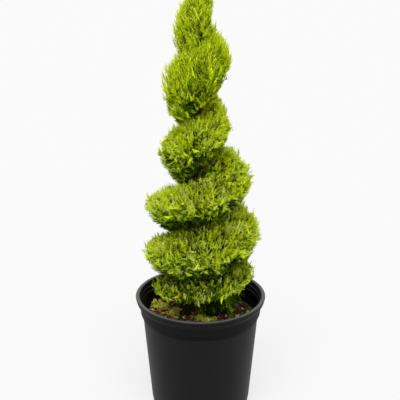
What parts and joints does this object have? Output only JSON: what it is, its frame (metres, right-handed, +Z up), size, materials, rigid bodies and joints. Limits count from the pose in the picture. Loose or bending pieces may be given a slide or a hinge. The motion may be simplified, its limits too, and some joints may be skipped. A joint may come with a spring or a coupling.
{
  "type": "spiral topiary in a pot",
  "caption": "Clipped conifer topiary whose crown climbs its straight trunk as a spiral band of feathery foliage, growing in a round tapered nursery pot.",
  "frame": {"origin": "middle of the pot's underside", "axes": "+Z up along the trunk, -Y towards the viewer of the picture, +X to the right in it"},
  "size_m": [0.285, 0.285, 1.035],
  "materials": {
    "pot_plastic": "satin, very dark grey",
    "soil": "rough, bark compost",
    "bark": "rough, fibrous",
    "foliage": "matte, yellow-green"
  },
  "bodies": {
    "root": {"pot": "pot_plastic", "soil": "soil", "trunk": "bark", "foliage_01": "foliage", "foliage_02": "foliage", "foliage_03": "foliage", "foliage_04": "foliage", "foliage_05": "foliage", "foliage_06": "foliage", "foliage_07": "foliage", "foliage_08": "foliage", "foliage_09": "foliage", "foliage_10": "foliage", "foliage_11": "foliage", "foliage_12": "foliage", "foliage_13": "foliage", "foliage_14": "foliage", "foliage_15": "foliage", "foliage_16": "foliage", "foliage_17": "foliage", "foliage_18": "foliage", "foliage_19": "foliage", "foliage_20": "foliage", "foliage_tip": "foliage"}
  },
  "joints": []
}
